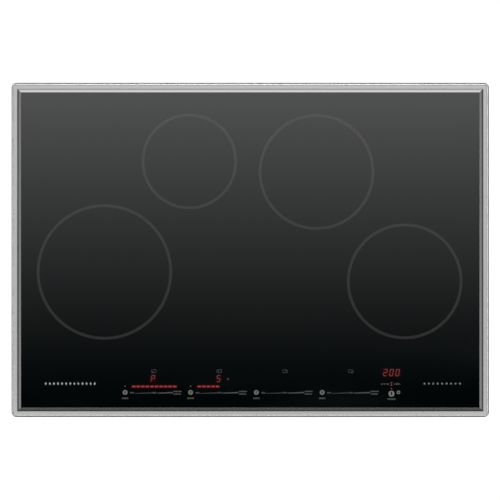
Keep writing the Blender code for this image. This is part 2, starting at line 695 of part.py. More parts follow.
def terminal_cover():
    """Lid of the compartment, which swings down about pins along its front edge."""
    inner_low, inner_high = BAY_LOW[0] + BAY_WALL + 0.5, BAY_HIGH[0] - BAY_WALL - 0.5
    bottom, top = HINGE_Z - HINGE_R, HINGE_Z + 0.4
    bm = sheet((inner_low, HINGE_Y + 0.5, bottom), (inner_high, BAY_HIGH[1] - BAY_WALL - 0.5, top))
    cover = place("terminal_cover", bm, "black_plastic", ((inner_low + inner_high) / 2, HINGE_Y, HINGE_Z))
    barrel = bmesh.new()
    add_prism(barrel, circle((HINGE_Y, HINGE_Z), HINGE_R - 0.05, 12), inner_low, inner_high, axis="X")
    combine(cover, barrel, "UNION")
    pins = bmesh.new()
    for low, high in ((inner_low - 1.5, inner_low + 1), (inner_high - 1, inner_high + 1.5)):
        add_prism(pins, circle((HINGE_Y, HINGE_Z), 1.0, 8), low, high, axis="X")
    combine(cover, pins, "UNION")


def cable_entry():
    """Bushing through the back wall and the locknut that holds it; no cable is fitted."""
    centre = (ENTRY_X, 0.0, ENTRY_Z)
    bushing = bmesh.new()
    outside = TRAY_Y + GAP
    profile = [(7.5, 232.5), (7.5, outside + 2.5), (11.5, outside + 2.5), (13, outside + 1.5)]
    profile += [(13, outside), (ENTRY_R, outside), (ENTRY_R, 232.5)]
    add_turned(bushing, profile, 20, centre, axis="Y")
    place("entry_bushing", bushing, "black_plastic")
    nut = bmesh.new()
    low, high = BAY_HIGH[1] + 0.9, TRAY_Y - TRAY_SHEET - 0.5
    inner, outer = ENTRY_R + GAP, 13.2
    hexagon = circle((ENTRY_X, ENTRY_Z), outer, 6)
    add_prism(nut, hexagon, low, high, axis="Y")
    locknut = place("entry_locknut", nut, "zinc_plate")
    bore = bmesh.new()
    add_prism(bore, circle((ENTRY_X, ENTRY_Z), inner, 20), low - 1, high + 1, axis="Y")
    combine(locknut, bore, "DIFFERENCE")


def main():
    clear_scene()
    trim_frame()
    glass_plate()
    flat_rim("worktop_seal", SEAL_OUT, SEAL_IN, WORKTOP_Z, SEAL_TOP_Z, "seal_foam")
    flat_rim("glass_adhesive_bead", BEAD_OUT, BEAD_IN, SEAL_TOP_Z - 0.4, SEAL_TOP_Z, "silicone")
    mounting_frame()
    base_tray()
    tray_screws()
    rating_plate()
    clamps()
    coil_plates()
    for name, (x, y, radius) in ZONES.items():
        coil(name, x, y, radius)
    for name, centre in FANS.items():
        fan(name, centre)
    power_stage("left", -272.0, (-312.0, -150.0), (-130.0, 76.0))
    power_stage("right", 112.0, (70.0, -150.0), (250.0, 76.0))
    chokes = [(-120.0, 130.0, 20.0, 22.0), (-60.0, 130.0, 20.0, 22.0), (-120.0, 190.0, 12.0, 24.0)]
    filter_blocks = [(-20.0, 190.0, 44.0, 22.0, 24.0), (10.0, 130.0, 30.0, 40.0, 18.0)]
    circuit_board("filter_board", (-185.0, 95.0), (55.0, 225.0), filter_blocks, chokes)
    touch_controls()
    terminal_box()
    terminal_block()
    terminal_cover()
    cable_entry()


main()
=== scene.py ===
import json
import math
import bmesh
import bpy
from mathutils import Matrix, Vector


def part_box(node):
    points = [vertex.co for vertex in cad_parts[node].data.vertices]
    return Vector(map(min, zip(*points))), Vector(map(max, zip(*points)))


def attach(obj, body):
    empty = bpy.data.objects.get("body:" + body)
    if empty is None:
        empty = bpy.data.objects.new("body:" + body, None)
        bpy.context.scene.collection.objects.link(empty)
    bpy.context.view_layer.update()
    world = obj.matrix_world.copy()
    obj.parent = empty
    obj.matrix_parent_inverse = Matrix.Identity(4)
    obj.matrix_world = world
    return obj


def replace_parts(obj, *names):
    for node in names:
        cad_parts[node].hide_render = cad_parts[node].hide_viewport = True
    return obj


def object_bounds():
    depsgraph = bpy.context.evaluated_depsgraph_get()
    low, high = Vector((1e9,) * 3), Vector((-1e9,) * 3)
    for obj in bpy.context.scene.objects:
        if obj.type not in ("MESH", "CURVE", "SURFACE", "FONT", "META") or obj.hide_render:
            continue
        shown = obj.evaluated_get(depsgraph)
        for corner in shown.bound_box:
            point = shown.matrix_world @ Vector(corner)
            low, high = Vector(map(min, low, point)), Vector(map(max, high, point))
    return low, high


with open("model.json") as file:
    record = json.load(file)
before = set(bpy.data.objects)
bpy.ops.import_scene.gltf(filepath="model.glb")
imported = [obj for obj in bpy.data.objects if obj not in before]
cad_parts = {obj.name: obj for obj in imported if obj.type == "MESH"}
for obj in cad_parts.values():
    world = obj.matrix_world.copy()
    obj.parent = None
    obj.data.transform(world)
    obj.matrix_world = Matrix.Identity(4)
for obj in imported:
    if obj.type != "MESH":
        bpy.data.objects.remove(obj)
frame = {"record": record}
cad_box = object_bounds()

MM = 0.001
ROOT = "cooktop"
CORNERS = [(end, side) for end in ("front", "rear") for side in ("left", "right")]
SIGNS = {"front": -1, "rear": 1, "left": -1, "right": 1}


def millimetres(node):
    """A node's lowest and highest corners at rest, in millimetres."""
    low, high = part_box(node)
    return Vector(low) / MM, Vector(high) / MM


def middle_of(node):
    """The middle of a node's box at rest, in millimetres."""
    return sum(millimetres(node), Vector()) / 2


# Places and sizes that the frame gives.
CAD_LOW, CAD_HIGH = Vector(cad_box[0]) / MM, Vector(cad_box[1]) / MM
HALF_X, HALF_Y, RIM_Z = CAD_HIGH.x, CAD_HIGH.y, CAD_HIGH.z
GLASS_LOW, GLASS_HIGH = millimetres("glass_plate")
GLASS_Z = GLASS_HIGH.z
SEAL_Z = millimetres("worktop_seal")[0].z
TRAY_LOW, TRAY_HIGH = millimetres("base_tray")
FANS = {side: middle_of(f"fan_motor_{side}") for side in ("left", "right")}


# --- Mesh building, in millimetres ---

PIECES = []

# Points nearer than WELD become one, and an edge bent by more than SHARP degrees looks sharp.
WELD, SHARP = 0.0005, 32.0


def piece(name, bm, finishes, body=ROOT, sharp=SHARP):
    """Makes an object in metres from a mesh built in millimetres, and lets it ride on a body."""
    bmesh.ops.remove_doubles(bm, verts=bm.verts, dist=WELD)
    bmesh.ops.recalc_face_normals(bm, faces=bm.faces)
    bmesh.ops.scale(bm, verts=bm.verts, vec=(MM, MM, MM))
    mesh = bpy.data.meshes.new(name)
    bm.to_mesh(mesh)
    bm.free()
    for finish in finishes if isinstance(finishes, (list, tuple)) else [finishes]:
        mesh.materials.append(finish)
    mesh.shade_smooth()
    mesh.set_sharp_from_angle(angle=math.radians(sharp))
    thing = bpy.data.objects.new(name, mesh)
    bpy.context.scene.collection.objects.link(thing)
    if body:
        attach(thing, body)
        PIECES.append(thing)
    return thing


def keep_flats_flat(thing):
    """Shades wide faces by their own normal, so that only the small faces of a bend look round."""
    step = thing.modifiers.new("flat_faces", "WEIGHTED_NORMAL")
    step.mode = "FACE_AREA"
    step.keep_sharp = True


def boolean(target, tools, operation):
    """Cuts closed meshes from the target or joins them on, and keeps the result as its mesh."""
    helper = piece(f"{target.name}_tool", tools, [], body=None)
    step = target.modifiers.new(operation, "BOOLEAN")
    step.operation = operation
    step.solver = "EXACT"
    step.object = helper
    shown = target.evaluated_get(bpy.context.evaluated_depsgraph_get())
    result = bpy.data.meshes.new_from_object(shown)
    target.modifiers.clear()
    target.data = result
    result.shade_smooth()
    result.set_sharp_from_angle(angle=math.radians(SHARP))
    bpy.data.objects.remove(helper)


def add_box(bm, low, high):
    xs, ys, zs = zip(low, high)
    v = [bm.verts.new((x, y, z)) for z in zs for y in ys for x in xs]
    for face in ((0, 2, 3, 1), (4, 5, 7, 6), (0, 1, 5, 4), (2, 6, 7, 3), (0, 4, 6, 2), (1, 3, 7, 5)):
        bm.faces.new([v[i] for i in face])


def add_loft(bm, loops, closed=False):
    """Skins loops that have the same number of points; open lofts get an end face at each end."""
    rings = [[bm.verts.new(p) for p in loop] for loop in loops]
    count = len(rings[0])
    for k in range(len(rings) if closed else len(rings) - 1):
        here, there = rings[k], rings[(k + 1) % len(rings)]
        for i in range(count):
            j = (i + 1) % count
            bm.faces.new((here[i], here[j], there[j], there[i]))
    if not closed:
        bm.faces.new(rings[0][::-1])
        bm.faces.new(rings[-1])


def along(outline, level, axis="Z"):
    """Lifts a flat outline into space: along X it holds (y, z), and along Y (x, z)."""
    if axis == "Z":
        return [(a, b, level) for a, b in outline]
    if axis == "Y":
        return [(a, level, b) for a, b in outline]
    return [(level, a, b) for a, b in outline]


def add_prism(bm, outline, low, high, axis="Z"):
    add_loft(bm, [along(outline, low, axis), along(outline, high, axis)])


def add_turned(bm, profile, segments, centre, axis="Z"):
    """Turns a closed profile of (radius, level) about an axis."""
    loops = []
    for i in range(segments):
        angle = 2 * math.pi * i / segments
        loop = []
        for radius, level in profile:
            a, b = radius * math.cos(angle), radius * math.sin(angle)
            loop.append([c + d for c, d in zip(centre, *along([(a, b)], level, axis))])
        loops.append(loop)
    add_loft(bm, loops, closed=True)


def arc(centre, radius, start, end, segments):
    points = []
    for i in range(segments + 1):
        angle = math.radians(start + (end - start) * i / segments)
        points.append((centre[0] + radius * math.cos(angle), centre[1] + radius * math.sin(angle)))
    return points


def circle(centre, radius, segments):
    return arc(centre, radius, 0, 360, segments)[:-1]


def rounded_rectangle(centre, half_x, half_y, radius, segments=6):
    outline = []
    for sx, sy, start in ((1, 1, 0), (-1, 1, 90), (-1, -1, 180), (1, -1, 270)):
        middle = (centre[0] + sx * (half_x - radius), centre[1] + sy * (half_y - radius))
        outline += arc(middle, radius, start, start + 90, segments)
    return outline


def obround(centre, long, wide, axis="X", segments=6):
    """A slot's outline with round ends."""
    half = (long / 2, wide / 2) if axis == "X" else (wide / 2, long / 2)
    return rounded_rectangle(centre, *half, min(half) * 0.999, segments)


def filleted(points, radii, segments=5):
    """A closed outline with each corner rounded to its own radius."""
    outline = []
    for i, radius in enumerate(radii):
        here = Vector(points[i])
        if not radius:
            outline.append(tuple(here))
            continue
        before = (Vector(points[i - 1]) - here).normalized()
        after = (Vector(points[(i + 1) % len(points)]) - here).normalized()
        half = before.angle(after) / 2
        middle = here + (before + after).normalized() * radius / math.sin(half)
        first = here + before * radius / math.tan(half) - middle
        last = here + after * radius / math.tan(half) - middle
        sweep = first.angle(last)
        for k in range(segments + 1):
            share = k / segments
            mixed = first * math.sin((1 - share) * sweep) + last * math.sin(share * sweep)
            outline.append(tuple(middle + mixed / math.sin(sweep)))
    return outline


def add_rim(bm, section, corner_r, segments):
    """Sweeps a section of (inset from the trim's outer edge, level) round the whole cooktop."""
    loops = []
    for inset, level in section:
        radius = max(corner_r - inset, 0.0)
        outline = rounded_rectangle((0, 0), HALF_X - inset, HALF_Y - inset, radius, segments)
        loops.append(along(outline, level))
    add_loft(bm, loops, closed=True)


# --- Materials ---


class Nodes:
    """Short helpers for a node tree."""

    def __init__(self, tree):
        self.tree = tree

    def fill(self, node, inputs):
        """Gives each input its value, or links it to the output that feeds it."""
        for socket, value in inputs.items():
            if isinstance(value, bpy.types.NodeSocket):
                self.tree.links.new(value, node.inputs[socket])
            else:
                node.inputs[socket].default_value = value

    def node(self, kind, inputs=None, **settings):
        made = self.tree.nodes.new(kind)
        for key, value in settings.items():
            setattr(made, key, value)
        self.fill(made, inputs or {})
        return made

    def math(self, operation, *values):
        return self.node("ShaderNodeMath", dict(enumerate(values)), operation=operation).outputs[0]

    def ramp(self, source, stops, interpolation="LINEAR"):
        """Colours by a pattern's value, through rising stops of (value, colour)."""
        made = self.node("ShaderNodeValToRGB", {"Fac": source})
        made.color_ramp.interpolation = interpolation
        elements = made.color_ramp.elements
        for i, (place, colour) in enumerate(stops):
            element = elements.new(place) if i > 1 else elements[i]
            element.position = place
            element.color = (*colour, 1.0)
        return made.outputs["Color"]


class Finish(Nodes):
    """A Principled material with short helpers for the patterns that feed it."""

    def __init__(self, name, colour, roughness, metallic=0.0, **sockets):
        self.material = bpy.data.materials.new(name)
        self.material.use_nodes = True
        super().__init__(self.material.node_tree)
        self.shader = self.tree.nodes["Principled BSDF"]
        self.set("Base Color", (*colour, 1.0))
        self.set("Roughness", roughness)
        self.set("Metallic", metallic)
        self.fill(self.shader, sockets)

    def set(self, socket, value):
        self.fill(self.shader, {socket: value})

    def surface(self, shader):
        """Lets another shader take the Principled one's place."""
        self.fill(self.tree.nodes["Material Output"], {"Surface": shader})

    def place(self, scale=1, offset=(0, 0, 0)):
        """The piece's own coordinates, scaled; a scale of 1000 counts in millimetres."""
        where = self.node("ShaderNodeTexCoord").outputs["Object"]
        scale = scale if isinstance(scale, tuple) else (scale,) * 3
        inputs = {"Vector": where, "Scale": scale, "Location": offset}
        return self.node("ShaderNodeMapping", inputs).outputs[0]

    def noise(self, vector, detail=3.0, scale=1.0, output="Fac"):
        inputs = {"Vector": vector, "Scale": scale, "Detail": detail}
        return self.node("ShaderNodeTexNoise", inputs).outputs[output]

    def cells(self, vector, output="Distance"):
        return self.node("ShaderNodeTexVoronoi", {"Vector": vector, "Scale": 1.0}).outputs[output]

    def spread(self, source, low, high, start, stop):
        """Maps a pattern's values between start and stop on to low and high."""
        inputs = {"Value": source, "From Min": start, "From Max": stop, "To Min": low, "To Max": high}
        return self.node("ShaderNodeMapRange", inputs).outputs["Result"]

    def colours(self, source, first, second, start=0.3, stop=0.7):
        """Drives the base colour from one colour to another by a pattern."""
        self.set("Base Color", self.ramp(source, ((start, first), (stop, second))))

    def rough(self, source, low, high, start=0.3, stop=0.7):
        self.set("Roughness", self.spread(source, low, high, start, stop))

    def bump(self, source, distance, strength):
        """Relief of a real height in metres."""
        inputs = {"Height": source, "Distance": distance, "Strength": strength}
        self.set("Normal", self.node("ShaderNodeBump", inputs).outputs["Normal"])

    def emit(self, colour):
        self.set("Emission Color", colour)
        self.set("Emission Strength", 1.0)


def shades(colour, darker, lighter):
    """A colour at two strengths, for the two ends of a pattern."""
    return [tuple(min(c * factor, 1.0) for c in colour) for factor in (darker, lighter)]


# The glass's colour, which the patches of light that lie on it share.
GLASS_TINT = (0.0002, 0.0026, 0.0031)


def brushed_steel(name, direction):
    """Satin stainless with hairlines along one direction."""
    fine, coarse = 4200.0, 8.0
    scale = (coarse, fine, fine) if direction == "X" else (fine, coarse, fine)
    steel = Finish(name, (0.5, 0.5, 0.497), 0.2, 1.0)
    lines = steel.noise(steel.place(scale))
    steel.colours(lines, (0.482, 0.482, 0.479), (0.508, 0.508, 0.505))
    steel.rough(lines, 0.2, 0.22)
    steel.bump(lines, 0.0000015, 0.07)
    return steel.material


def black_glass():
    """Polished glass-ceramic, opaque, with a very fine grain and faint wipe marks."""
    glass = Finish("black_glass_ceramic", GLASS_TINT, 0.02, IOR=1.5)
    grain = glass.cells(glass.place(900))
    glass.colours(grain, (0.0003, 0.0031, 0.0037), (0.0001, 0.0021, 0.0025), 0.0, 0.6)
    wipes = glass.noise(glass.place((3.0, 16.0, 3.0)), detail=5.0)
    glass.rough(wipes, 0.012, 0.05)
    return glass.material


def ink(name, dark, light, roughness=0.12, tint=(1.0, 1.0, 1.0)):
    """Enamel print fired into the glass: a fine screen of dots under the same gloss."""
    low, high = shades(tint, dark, light)
    print_ink = Finish(name, high, roughness, IOR=1.5)
    dots = print_ink.noise(print_ink.place(2600), detail=2.0)
    print_ink.colours(dots, low, high, 0.35, 0.6)
    print_ink.rough(dots, roughness * 0.7, roughness * 1.3)
    return print_ink.material


def lit(name, colour):
    """A light-emitting window under the glass, with a slightly uneven glow."""
    window = Finish(name, (0.01, 0.004, 0.004), 0.05, IOR=1.5)
    glow = window.noise(window.place(420), detail=2.0)
    window.emit(window.ramp(glow, ((0.25, [c * 0.86 for c in colour]), (0.75, colour))))
    return window.material


def spill(name, colour, centre, half, fade):
    """Glass with light spilled on it, fading over the last millimetres before the patch ends."""
    patch = Finish(name, GLASS_TINT, 0.03, IOR=1.5)
    where = patch.place(offset=(-centre[0] * MM, -centre[1] * MM, 0))
    axes = patch.node("ShaderNodeSeparateXYZ", {0: where})
    level = 1.0
    for axis, reach in zip("XY", half):
        away = patch.math("ABSOLUTE", axes.outputs[axis])
        level = patch.math("MULTIPLY", patch.spread(away, 1.0, 0.0, (reach - fade) * MM, reach * MM), level)
    patch.emit(patch.ramp(level, ((0.0, (0.0, 0.0, 0.0)), (1.0, colour)), "EASE"))
    return patch.material


def galvanised():
    """Hot-dip zinc on steel: overlapping crystals of slightly different grey."""
    base = (0.50, 0.515, 0.525)
    zinc = Finish("galvanised_sheet", base, 0.4, 0.9)
    where = zinc.place(95)
    swirl = zinc.noise(where, 2.0, 1.6, "Color")
    inputs = {0: swirl, 1: (0.7, 0.7, 0.7), 2: where}
    warped = zinc.node("ShaderNodeVectorMath", inputs, operation="MULTIPLY_ADD").outputs[0]
    grey = zinc.node("ShaderNodeSeparateColor", {"Color": zinc.cells(warped, "Color")})
    fine = zinc.noise(zinc.place(700))
    mixed = zinc.math("MULTIPLY_ADD", grey.outputs["Red"], 0.75, zinc.math("MULTIPLY", fine, 0.25))
    zinc.colours(mixed, *shades(base, 0.84, 1.1), 0.15, 0.85)
    zinc.rough(mixed, 0.32, 0.5, 0.15, 0.85)
    zinc.bump(fine, 0.00002, 0.25)
    return zinc.material


def machined(name, base, low=0.28, high=0.42, stretch=(60, 900, 900)):
    """Rolled or turned metal with fine drawn lines and cloudy tone."""
    metal = Finish(name, base, low, 1.0)
    lines = metal.noise(metal.place(stretch))
    clouds = metal.noise(metal.place(40))
    both = metal.math("MULTIPLY_ADD", lines, 0.5, metal.math("MULTIPLY", clouds, 0.5))
    metal.colours(both, *shades(base, 0.85, 1.08))
    metal.rough(both, low, high)
    metal.bump(lines, 0.000008, 0.3)
    return metal.material


def moulded(name, base, roughness=0.5, grain=1400.0, depth=0.00002):
    """Moulded plastic with a fine spark-eroded grain."""
    plastic = Finish(name, base, roughness)
    texture = plastic.noise(plastic.place(grain))
    tone = plastic.noise(plastic.place(30))
    plastic.colours(tone, *shades(base, 0.86, 1.1))
    plastic.rough(texture, roughness * 0.85, min(roughness * 1.15, 1.0))
    plastic.bump(texture, depth, 0.5)
    return plastic.material


def foam():
    seal = Finish("closed_cell_foam", (0.045, 0.045, 0.05), 0.9)
    pores = seal.cells(seal.place(1300))
    seal.colours(pores, (0.018, 0.018, 0.02), (0.07, 0.07, 0.075), 0.1, 0.7)
    seal.bump(pores, 0.0002, 0.7)
    return seal.material


def winding(name, centre):
    """Litz wire wound flat: concentric turns about the coil's own centre, each of fine strands."""
    copper = Finish(name, (0.62, 0.27, 0.12), 0.36, 1.0)
    where = copper.place((1, 1, 0), (-centre.x * MM, -centre.y * MM, 0))
    radius = copper.node("ShaderNodeVectorMath", {0: where}, operation="LENGTH")
    turn_pitch = 3.4 * MM
    phase = copper.math("MULTIPLY", radius.outputs["Value"], 2 * math.pi / turn_pitch)
    turns = copper.math("COSINE", phase)
    strands = copper.noise(copper.place(1500), detail=2.0)
    tone = copper.math("MULTIPLY_ADD", turns, 0.35, strands)
    copper.colours(tone, (0.28, 0.09, 0.035), (0.72, 0.33, 0.15), 0.1, 0.85)
    copper.bump(copper.math("MULTIPLY_ADD", strands, 0.3, turns), 0.0004, 0.8)
    return copper.material


def mica():
    sheet = Finish("mica_disc", (0.55, 0.5, 0.4), 0.4)
    flakes = sheet.cells(sheet.place(260))
    fine = sheet.noise(sheet.place(900))
    mixed = sheet.math("MULTIPLY_ADD", flakes, 0.6, sheet.math("MULTIPLY", fine, 0.4))
    sheet.colours(mixed, (0.42, 0.37, 0.28), (0.66, 0.61, 0.5))
    sheet.rough(mixed, 0.28, 0.5)
    sheet.bump(flakes, 0.00004, 0.4)
    return sheet.material


def circuit():
    """Solder mask over copper tracks."""
    board = Finish("circuit_board", (0.02, 0.12, 0.05), 0.35)
    inputs = {
        "Vector": board.place(160),
        "Color1": (0.012, 0.085, 0.035, 1),
        "Color2": (0.018, 0.11, 0.045, 1),
        "Mortar": (0.05, 0.2, 0.07, 1),
        "Scale": 1.0,
        "Mortar Size": 0.06,
    }
    tracks = board.node("ShaderNodeTexBrick", inputs)
    board.set("Base Color", tracks.outputs["Color"])
    board.bump(tracks.outputs["Fac"], 0.00004, 0.5)
    return board.material


STEEL_X, STEEL_Y = (brushed_steel(f"brushed_steel_along_{axis.lower()}", axis) for axis in "XY")
GLASS = black_glass()
RING_INK = ink("ring_ink", 0.037, 0.051, 0.06, (1.0, 1.01, 1.01))
WHITE_INK = ink("white_ink", 0.62, 0.74)
PALE_INK = ink("pale_ink", 0.27, 0.37)
LABEL_INK = ink("label_ink", 0.135, 0.19)
MID_INK = ink("mid_ink", 0.105, 0.14)
DIM_INK = ink("dim_ink", 0.045, 0.063)
LIT_BAR = lit("lit_bar", (0.34, 0.05, 0.055))
LIT_DIGIT = lit("lit_digit", (0.23, 0.045, 0.05))
LIT_LAMP = lit("lit_lamp", (0.22, 0.13, 0.155))
LIT_DIM = lit("lit_dim", (0.07, 0.025, 0.025))
BAR_SPILL, DIGIT_SPILL = (0.042, 0.0, 0.0), (0.018, 0.0, 0.0)
ZINC = galvanised()
ALUMINIUM = machined("mill_aluminium", (0.70, 0.71, 0.72))
PLATED = machined("zinc_plated_steel", (0.60, 0.60, 0.56), 0.25, 0.4, stretch=(500, 500, 60))
BRASS = machined("brass_screw", (0.62, 0.45, 0.2), 0.25, 0.4, stretch=(500, 500, 60))
BLACK_PLASTIC = moulded("black_plastic_moulding", (0.022, 0.022, 0.024))
WHITE_PLASTIC = moulded("white_plastic_moulding", (0.66, 0.66, 0.63))
RESIN = moulded("ferrite_resin_moulding", (0.06, 0.06, 0.068), 0.6, 500.0, 0.00008)
SILICONE = moulded("silicone_bead", (0.22, 0.22, 0.23), 0.45, 300.0, 0.00006)
FOAM, MICA, CIRCUIT = foam(), mica(), circuit()


def finish_cad_nodes():
    """Gives every CAD node a procedural material, by its slot in the record."""
    by_slot = {
        "brushed_steel": STEEL_X,
        "black_glass": GLASS,
        "seal_foam": FOAM,
        "silicone": SILICONE,
        "galvanised": ZINC,
        "aluminium": ALUMINIUM,
        "ferrite_resin": RESIN,
        "mica": MICA,
        "board_green": CIRCUIT,
        "white_plastic": WHITE_PLASTIC,
        "black_plastic": BLACK_PLASTIC,
        "zinc_plate": PLATED,
    }
    for part in frame["record"]["subparts"]:
        node, slot = part["node"], part["material_slot"]
        finish = winding(f"litz_{node}", middle_of(node)) if slot == "copper" else by_slot[slot]
        materials = bpy.data.objects[node].data.materials
        materials.clear()
        materials.append(finish)


# --- Trim and glass ---


def trim():
    """Rolled steel frame: drafted skirt, rounded edge, flat rim and two facets down to the glass."""
    low, lip = SEAL_Z + 0.3, GLASS_Z + 0.3
    step, foot, under = RIM_Z - 1.2, RIM_Z - 1.9, RIM_Z - 1.2
    corners = [
        ((0.0, low), 0.0),
        ((2.45, RIM_Z), 2.2),
        ((9.4, RIM_Z), 0.5),
        ((11.9, step), 0.5),
        ((15.3, foot), 0.0),
        ((15.3, lip), 0.0),
        ((7.4, lip), 0.3),
        ((7.4, low), 0.2),
        ((6.2, low), 0.2),
        ((6.2, under), 0.3),
        ((3.0, under), 0.8),
        ((1.2, low), 0.2),
    ]
    section = filleted(*zip(*corners))
    corner_r = 7.5
    bm = bmesh.new()
    add_rim(bm, section, corner_r, 12)
    steel = piece("trim_steel", bm, [STEEL_X, STEEL_Y], sharp=38)
    for face in steel.data.polygons:
        x, y = abs(face.center.x) / MM, abs(face.center.y) / MM
        face.material_index = 1 if HALF_X - x < HALF_Y - y else 0
    for edge in steel.data.edges:
        insets = []
        for index in edge.vertices:
            place = steel.data.vertices[index].co / MM
            insets.append((HALF_X - abs(place.x), HALF_Y - abs(place.y)))
        on_mitre = all(abs(a - b) < 0.01 and a > corner_r for a, b in insets)
        edge.use_edge_sharp = edge.use_edge_sharp or (on_mitre and insets[0] != insets[1])
    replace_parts(steel, "trim_frame")


def glass():
    """Plate with ground and polished edges."""
    edge = 0.5
    half_x, half_y = GLASS_HIGH.x, GLASS_HIGH.y
    bm = bmesh.new()
    loops = []
    low, high, corner_r = GLASS_LOW.z, GLASS_Z, 2.5
    for inset, level in ((edge, low), (0, low + edge), (0, high - edge), (edge, high)):
        outline = rounded_rectangle((0, 0), half_x - inset, half_y - inset, corner_r - inset, 6)
        loops.append(along(outline, level))
    add_loft(bm, loops)
    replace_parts(piece("glass_panel", bm, GLASS), "glass_plate")


# --- Prints and displays on the glass ---

# A print starts INK_SINK inside the glass, and each layer of ink is INK_LIFT thick.
INK_SINK, INK_LIFT = 0.02, 0.04
RING_CLEAR, RING_WIDTH = 7.0, 4.5

# Rows and columns of the controls, counted from the display boxes below the glass.
LIT_SEGMENTS = {"front_left": 10, "rear_left": 5, "rear_right": 0, "front_right": 0}
SLIDERS = {zone: millimetres(f"display_{zone}")[0] for zone in LIT_SEGMENTS}
KEYS_X = [low.x - 7.0 for low in SLIDERS.values()]
KEY_Y = SLIDERS["front_left"].y - 5.2
BAR_Y, LEVEL_Y, ICON_Y, LABEL_Y = KEY_Y + 9.4, KEY_Y + 22.0, KEY_Y + 33.7, KEY_Y - 9.4
TIMER_X = middle_of("display_timer").x - 0.3
TIMER_Y, SIGN_Y, DOT_Y, MAIN_Y = KEY_Y + 31.6, KEY_Y + 13.4, KEY_Y + 5.9, KEY_Y - 2.1


def ink_levels(layer=1):
    return GLASS_Z - INK_SINK, GLASS_Z + INK_LIFT * layer


def add_print(bm, outline, layer=1):
    """Ink of one or more layers: a thin closed body on the glass."""
    add_prism(bm, outline, *ink_levels(layer))


def add_ring(bm, centre, radius):
    low, high = ink_levels()
    inner, outer = radius - RING_WIDTH / 2, radius + RING_WIDTH / 2
    add_turned(bm, [(inner, low), (outer, low), (outer, high), (inner, high)], 128, (*centre, 0))


def add_frame(bm, centre, half_x, half_y, radius, stroke, layer=1):
    """The printed outline of a rounded rectangle."""
    low, high = ink_levels(layer)
    loops = []
    for grow, level in ((0.5, low), (0.5, high), (-0.5, high), (-0.5, low)):
        grown = grow * stroke
        outline = rounded_rectangle(centre, half_x + grown, half_y + grown, radius + grown, 5)
        loops.append(along(outline, level))
    add_loft(bm, loops, closed=True)


def printed(name, build, finish):
    bm = bmesh.new()
    build(bm)
    return piece(name, bm, finish)


def zone_rings():
    """A ring round each coil's winding."""
    for zone in LIT_SEGMENTS:
        low, high = millimetres(f"coil_winding_{zone}")
        centre, radius = ((low + high) / 2).xy, (high.x - low.x) / 2 + RING_CLEAR
        printed(f"zone_ring_{zone}", lambda bm: add_ring(bm, centre, radius), RING_INK)


def add_ticks(bm, centre, width, height):
    """A short row of upright graduation marks that stands where a label would."""
    pitch, stroke = 1.3, 0.75
    count = max(2, round(width / pitch))
    for i in range(count):
        x = centre[0] + (i - (count - 1) / 2) * pitch
        add_print(bm, rounded_rectangle((x, centre[1]), stroke / 2, height / 2, 0.2, 2))


def slider_prints():
    """Per zone: a tapered power line in two stretches, with low, middle and high marks."""
    low_start, high_start, reach, climb, widen = 15.6, 51.0, 25.3, 0.8, 0.8

    def add_lines(bm, offset, drop, thick):
        """Each line climbs a little and grows thicker towards its end."""
        for x in KEYS_X:
            start, stop, y = x + offset, x + offset + reach, KEY_Y - drop
            outline = [(start, y - thick / 2), (stop, y + climb - (thick + widen) / 2)]
            outline += [(stop, y + climb + (thick + widen) / 2), (start, y + thick / 2)]
            add_print(bm, outline)

    def marks(bm):
        for x in KEYS_X:
            add_ticks(bm, (x + 11.0, KEY_Y - 0.6), 6.6, 2.2)
            add_ticks(bm, (x + 45.6, KEY_Y - 0.5), 7.4, 2.2)
            add_ticks(bm, (x + 83.5, KEY_Y + 1.5), 12.6, 2.1)
            add_ticks(bm, (x + 83.0, KEY_Y - 2.6), 11.4, 2.1)
            add_ticks(bm, (x, LABEL_Y), 10.4, 2.6)
        add_ticks(bm, (TIMER_X, MAIN_Y - 8.6), 12.6, 2.8)

    printed("slider_lines_low", lambda bm: add_lines(bm, low_start, 1.6, 0.9), DIM_INK)
    printed("slider_lines_high", lambda bm: add_lines(bm, high_start, 1.1, 1.3), MID_INK)
    printed("scale_marks", marks, LABEL_INK)


def key_prints():
    """Zone keys, main key and lock key, each a pale disc with a dark sign on it."""
    main, lock = (TIMER_X, MAIN_Y), (TIMER_X + 11.2, KEY_Y)

    def discs(bm):
        for x in KEYS_X:
            add_print(bm, circle((x, KEY_Y), 3.75, 40))
        add_print(bm, circle(main, 4.75, 48))
        add_print(bm, circle(lock, 2.7, 36))

    def signs(bm):
        for x in KEYS_X:
            add_frame(bm, (x, KEY_Y), 0.85, 1.75, 0.8, 0.85, 2)
        add_print(bm, rounded_rectangle(main, 0.95, 2.9, 0.8, 4), 2)
        add_print(bm, circle(lock, 1.25, 20), 2)

    printed("key_discs", discs, PALE_INK)
    printed("key_signs", signs, GLASS)


def zone_icons():
    """Outline of the cooktop over each slider, with a dot at the zone that it controls."""

    def icons(bm):
        for zone, x in zip(SLIDERS, KEYS_X):
            end, side = zone.split("_")
            middle = x + 45.8
            add_frame(bm, (middle, ICON_Y), 3.7, 2.25, 0.8, 0.55)
            add_print(bm, circle((middle + SIGNS[side] * 1.5, ICON_Y + SIGNS[end] * 0.8), 0.85, 20))

    printed("zone_icons", icons, MID_INK)


